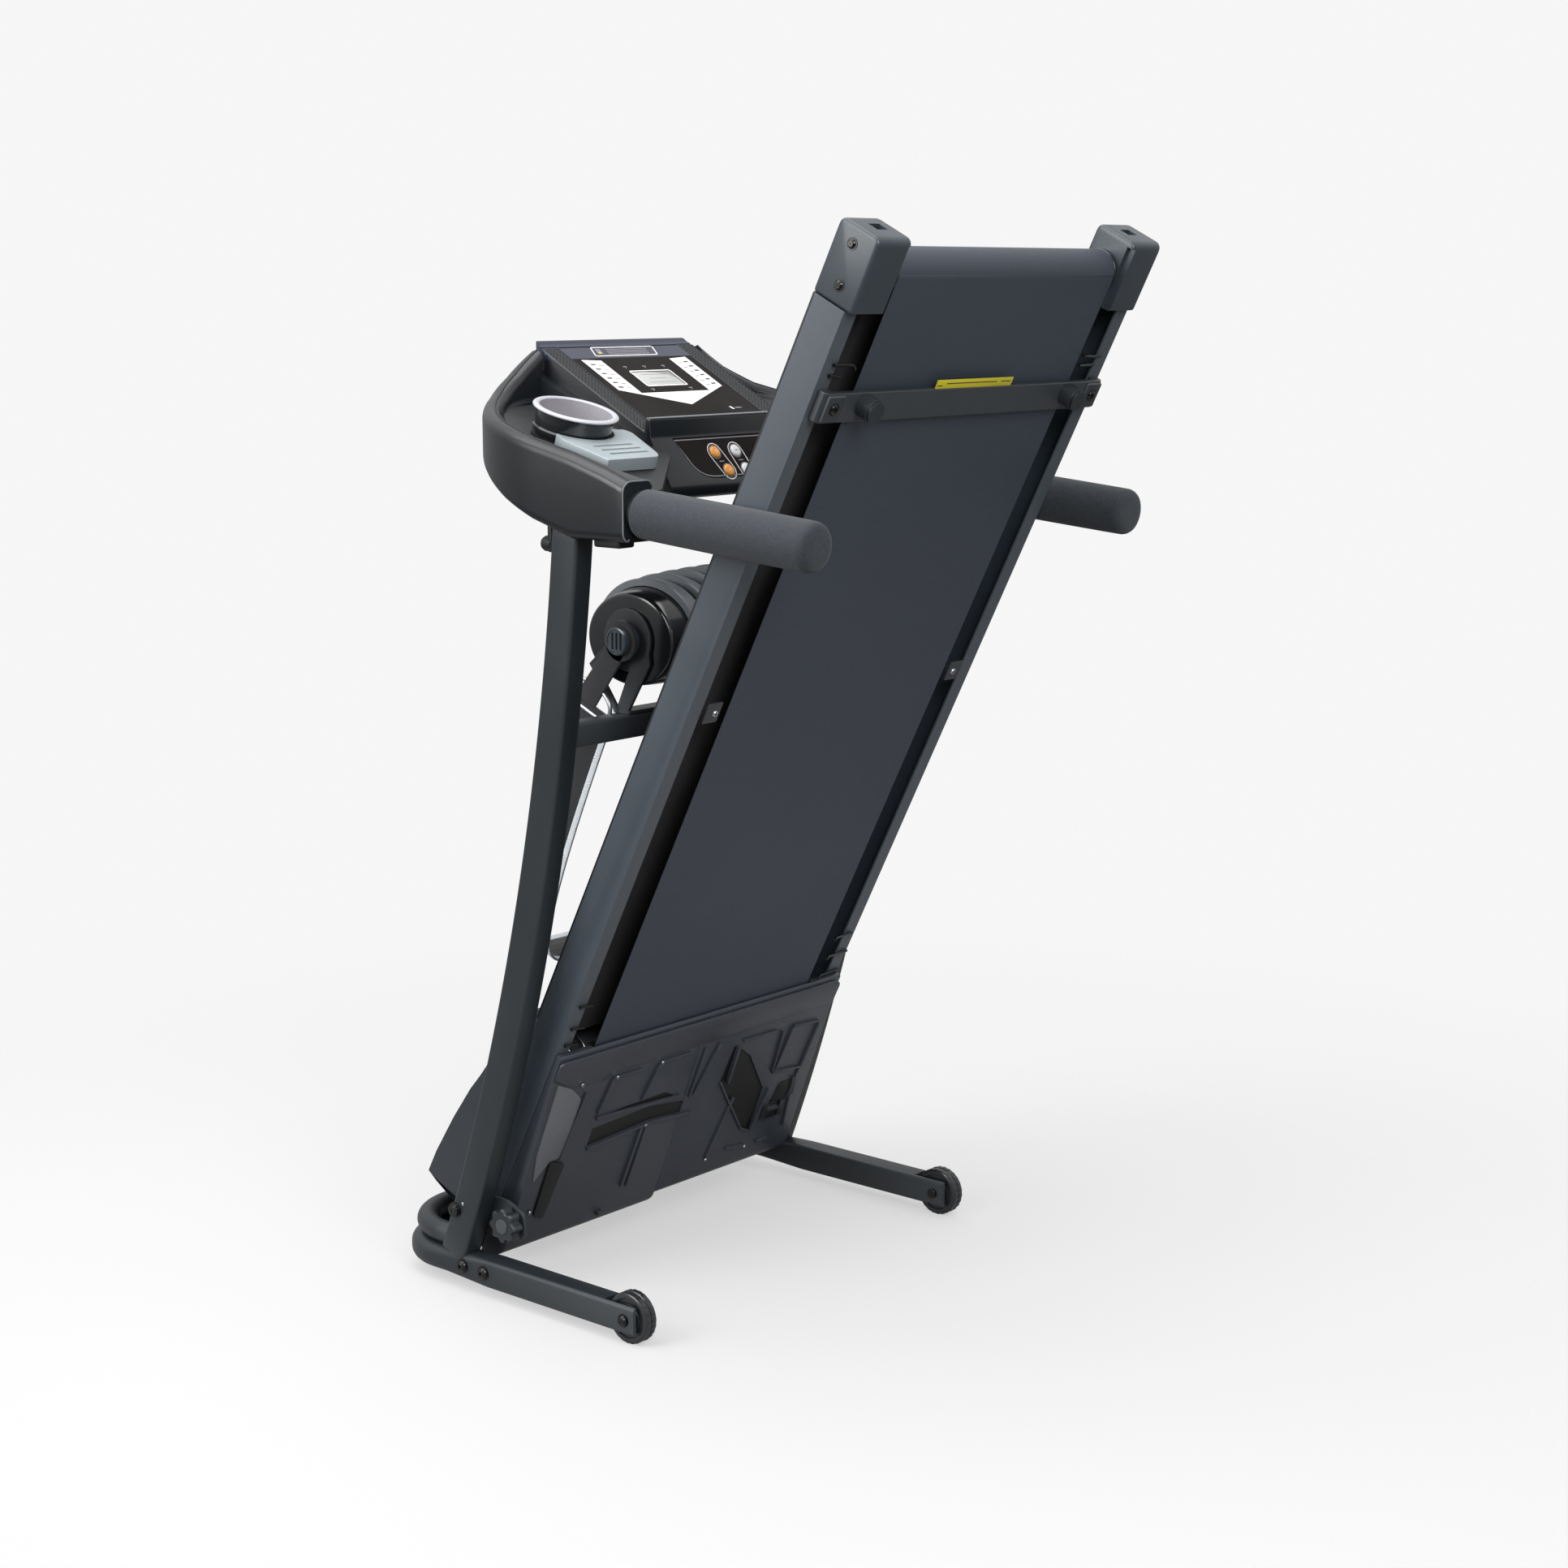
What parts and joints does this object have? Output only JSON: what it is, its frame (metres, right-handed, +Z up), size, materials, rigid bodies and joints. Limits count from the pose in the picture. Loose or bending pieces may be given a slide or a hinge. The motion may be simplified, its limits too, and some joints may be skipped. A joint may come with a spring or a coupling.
{
  "type": "folding treadmill",
  "caption": "Folding motorised treadmill standing folded, with a sloping console, foam handrails, cup holders and a belt massager on the crossbar.",
  "frame": {"origin": "middle of the footprint on the floor, machine folded", "axes": "+Z up, +Y the way the runner faces, +X the runner's right"},
  "size_m": [0.65, 0.7403, 1.2805],
  "materials": {
    "black_steel": "black powder coat",
    "rail_steel": "grey-blue powder coat",
    "shell_plastic": "fine grained",
    "black_plastic": "fine grained",
    "grey_plastic": "fine grained",
    "blue_plastic": "satin",
    "silver_plastic": "satin",
    "cup_plastic": "gloss with a silver rim",
    "foam": "closed cell foam",
    "rubber": "moulded",
    "belt_rubber": "fine diamond texture",
    "bright_steel": "zinc plated",
    "overlay": "printed overlay",
    "lcd": "unlit display",
    "orange_key": "gloss",
    "white_key": "gloss",
    "red_plastic": "gloss",
    "board": "laminated board",
    "webbing": "woven with pale edges",
    "motor_steel": "enamel"
  },
  "bodies": {
    "base": {"base_front_tube": "black_steel", "console_head": "blue_plastic", "face_panel": "overlay", "front_loop_tube": "black_steel", "key_panel": "overlay", "lcd_window": "lcd", "left_arm_shell": "shell_plastic", "left_cup_holder": "cup_plastic", "left_foam_grip": "foam", "left_foot_tube": "black_steel", "left_front_pad": "rubber", "left_hand_pad": "silver_plastic", "left_handle_tube": "black_steel", "left_pivot_bolt": "bright_steel", "left_upright": "black_steel", "left_wheel_axle": "bright_steel", "massage_belt": "webbing", "massager_bracket": "black_steel", "massager_housing": "black_plastic", "massager_pad": "shell_plastic", "right_arm_shell": "shell_plastic", "right_cup_holder": "cup_plastic", "right_foam_grip": "foam", "right_foot_tube": "black_steel", "right_front_pad": "rubber", "right_hand_pad": "silver_plastic", "right_handle_tube": "black_steel", "right_pivot_bolt": "bright_steel", "right_upright": "black_steel", "right_wheel_axle": "bright_steel", "upright_crossbar": "black_steel"},
    "deck": {"left_rail": "rail_steel", "right_rail": "rail_steel", "left_foot_rail": "black_plastic", "right_foot_rail": "black_plastic", "left_end_cap": "black_plastic", "right_end_cap": "black_plastic", "deck_board": "board", "running_belt": "belt_rubber", "rear_crossbar": "black_steel", "left_deck_foot": "rubber", "right_deck_foot": "rubber", "belly_pan": "black_plastic", "motor_hood": "black_plastic", "drive_motor": "motor_steel", "drive_belt": "rubber"},
    "front_roller_body": {"front_roller": "bright_steel"},
    "rear_roller_body": {"rear_roller": "bright_steel"},
    "motor_pulley_body": {"motor_pulley": "bright_steel"},
    "switch_body": {"power_switch": "black_plastic"},
    "left_wheel": {"left_transport_wheel": "rubber"},
    "right_wheel": {"right_transport_wheel": "rubber"},
    "lock_knob_body": {"lock_knob": "black_plastic"},
    "left_hub_body": {"left_massager_hub": "black_plastic"},
    "right_hub_body": {"right_massager_hub": "black_plastic"},
    "speed_up_body": {"speed_up_key": "orange_key"},
    "speed_down_body": {"speed_down_key": "orange_key"},
    "start_body": {"start_key": "white_key"},
    "stop_body": {"stop_key": "white_key"},
    "safety_body": {"safety_key": "red_plastic"}
  },
  "joints": [
    {"name": "deck_fold", "type": "hinge", "parent": "base", "child": "deck", "pos_m": [0, 0.242, 0.102], "axis": [1, 0, 0], "range_deg": [0, 65.4]},
    {"name": "front_roller_spin", "type": "hinge", "parent": "deck", "child": "front_roller_body", "pos_m": [0, 0.14573, 0.29424], "axis": [1, 0, 0], "continuous": true},
    {"name": "rear_roller_spin", "type": "hinge", "parent": "deck", "child": "rear_roller_body", "pos_m": [0, -0.32173, 1.22774], "axis": [1, 0, 0], "continuous": true},
    {"name": "motor_pulley_spin", "type": "hinge", "parent": "deck", "child": "motor_pulley_body", "pos_m": [0, 0.22182, 0.18696], "axis": [1, 0, 0], "continuous": true},
    {"name": "left_wheel_roll", "type": "hinge", "parent": "base", "child": "left_wheel", "pos_m": [-0.296, -0.039, 0.031], "axis": [1, 0, 0], "continuous": true},
    {"name": "right_wheel_roll", "type": "hinge", "parent": "base", "child": "right_wheel", "pos_m": [0.296, -0.039, 0.031], "axis": [1, 0, 0], "continuous": true},
    {"name": "lock_knob_pull", "type": "slide", "parent": "base", "child": "lock_knob_body", "axis": [-1, 0, 0], "range_m": [0, 0.012], "stiffness_N_per_m": 600, "springref_m": -0.01},
    {"name": "left_hub_spin", "type": "hinge", "parent": "base", "child": "left_hub_body", "pos_m": [-0.19, 0.059, 0.805], "axis": [1, 0, 0], "continuous": true},
    {"name": "right_hub_spin", "type": "hinge", "parent": "base", "child": "right_hub_body", "pos_m": [0.19, 0.059, 0.805], "axis": [1, 0, 0], "continuous": true},
    {"name": "power_switch_rock", "type": "hinge", "parent": "deck", "child": "switch_body", "pos_m": [0.205, 0.17938, 0.12209], "axis": [1, 0, 0], "range_deg": [0, 14]},
    {"name": "speed_up_press", "type": "slide", "parent": "base", "child": "speed_up_body", "axis": [0, 0.8599, -0.5105], "range_m": [0, 0.0015], "stiffness_N_per_m": 400, "springref_m": -0.0015},
    {"name": "speed_down_press", "type": "slide", "parent": "base", "child": "speed_down_body", "axis": [0, 0.8599, -0.5105], "range_m": [0, 0.0015], "stiffness_N_per_m": 400, "springref_m": -0.0015},
    {"name": "start_press", "type": "slide", "parent": "base", "child": "start_body", "axis": [0, 0.8599, -0.5105], "range_m": [0, 0.0015], "stiffness_N_per_m": 400, "springref_m": -0.0015},
    {"name": "stop_press", "type": "slide", "parent": "base", "child": "stop_body", "axis": [0, 0.8599, -0.5105], "range_m": [0, 0.0015], "stiffness_N_per_m": 400, "springref_m": -0.0015},
    {"name": "safety_key_pull", "type": "slide", "parent": "base", "child": "safety_body", "axis": [0, -0.8599, 0.5105], "range_m": [0, 0.03]}
  ],
  "couplings": [
    {"joint": "rear_roller_spin", "follows": "front_roller_spin", "ratio": 1},
    {"joint": "motor_pulley_spin", "follows": "front_roller_spin", "ratio": 1.6071},
    {"joint": "left_hub_spin", "follows": "right_hub_spin", "ratio": 1}
  ]
}
